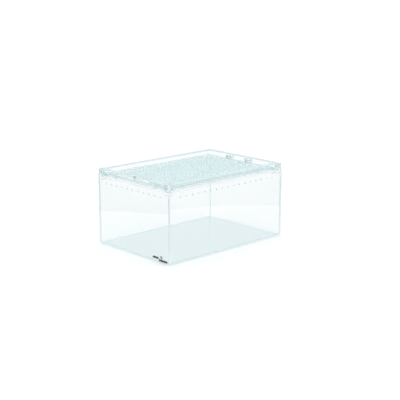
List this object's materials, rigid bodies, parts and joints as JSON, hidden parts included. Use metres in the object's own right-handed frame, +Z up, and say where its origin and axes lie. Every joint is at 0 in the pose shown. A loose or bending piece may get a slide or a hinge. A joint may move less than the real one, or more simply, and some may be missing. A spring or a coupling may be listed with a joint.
{
  "type": "hamster cage",
  "caption": "Clear rectangular tank for a small pet, with vent holes round its walls, a lift-off rim and a hinged perforated door held by magnets and a turning latch.",
  "frame": {"origin": "centre of the underside of the floor panel", "axes": "+Z up; X along the long side, with the latch end at -X and the hinge end at +X; -Y is the front long wall"},
  "size_m": [0.32, 0.22, 0.16],
  "materials": {
    "clear_acrylic": "clear polished acrylic sheet, 3 mm, very faint blue-green in the edges",
    "floor_acrylic": "clear acrylic sheet with a faint blue-green tint",
    "vent_acrylic": "clear laser-cut acrylic with frosted hole walls",
    "magnet_nickel": "nickel-plated magnet discs, dark and glossy",
    "steel": "turned stainless steel",
    "ink": "flat dark blue-grey screen-printing ink"
  },
  "bodies": {
    "tank": {"floor_panel": "floor_acrylic", "front_panel": "clear_acrylic", "back_panel": "clear_acrylic", "left_panel": "clear_acrylic", "right_panel": "clear_acrylic", "front_left_corner_block": "clear_acrylic", "front_right_corner_block": "clear_acrylic", "back_left_corner_block": "clear_acrylic", "back_right_corner_block": "clear_acrylic", "tank_magnets": "magnet_nickel", "printed_mark": "ink"},
    "lid_frame": {"front_rim_bar": "clear_acrylic", "back_rim_bar": "clear_acrylic", "left_rim_bar": "clear_acrylic", "right_rim_bar": "clear_acrylic", "front_left_corner_post": "clear_acrylic", "front_right_corner_post": "clear_acrylic", "back_left_corner_post": "clear_acrylic", "back_right_corner_post": "clear_acrylic", "front_ledge": "clear_acrylic", "back_ledge": "clear_acrylic", "left_ledge": "clear_acrylic", "right_ledge": "clear_acrylic", "front_locating_strip": "clear_acrylic", "back_locating_strip": "clear_acrylic", "left_locating_strip": "clear_acrylic", "right_locating_strip": "clear_acrylic", "lid_magnets": "magnet_nickel", "ledge_magnets": "magnet_nickel", "front_hinge_bracket": "clear_acrylic", "back_hinge_bracket": "clear_acrylic", "hinge_pins": "steel", "latch_screw": "steel", "latch_washer": "steel"},
    "door": {"vent_panel": "vent_acrylic", "front_hinge_leaf": "clear_acrylic", "back_hinge_leaf": "clear_acrylic", "pull_tab": "clear_acrylic", "latch_keeper": "clear_acrylic", "door_magnets": "magnet_nickel"},
    "latch": {"latch_arm": "clear_acrylic"}
  },
  "joints": [
    {"name": "lid_lift", "type": "slide", "parent": "tank", "child": "lid_frame", "axis": [0, 0, 1], "range_m": [0, 0.08]},
    {"name": "door_hinge", "type": "hinge", "parent": "lid_frame", "child": "door", "pos_m": [0.1413, 0, 0.156], "axis": [0, 1, 0], "range_deg": [0, 110]},
    {"name": "latch_turn", "type": "hinge", "parent": "lid_frame", "child": "latch", "pos_m": [-0.153, 0, 0.15685], "axis": [0, 0, -1], "range_deg": [0, 90]}
  ]
}
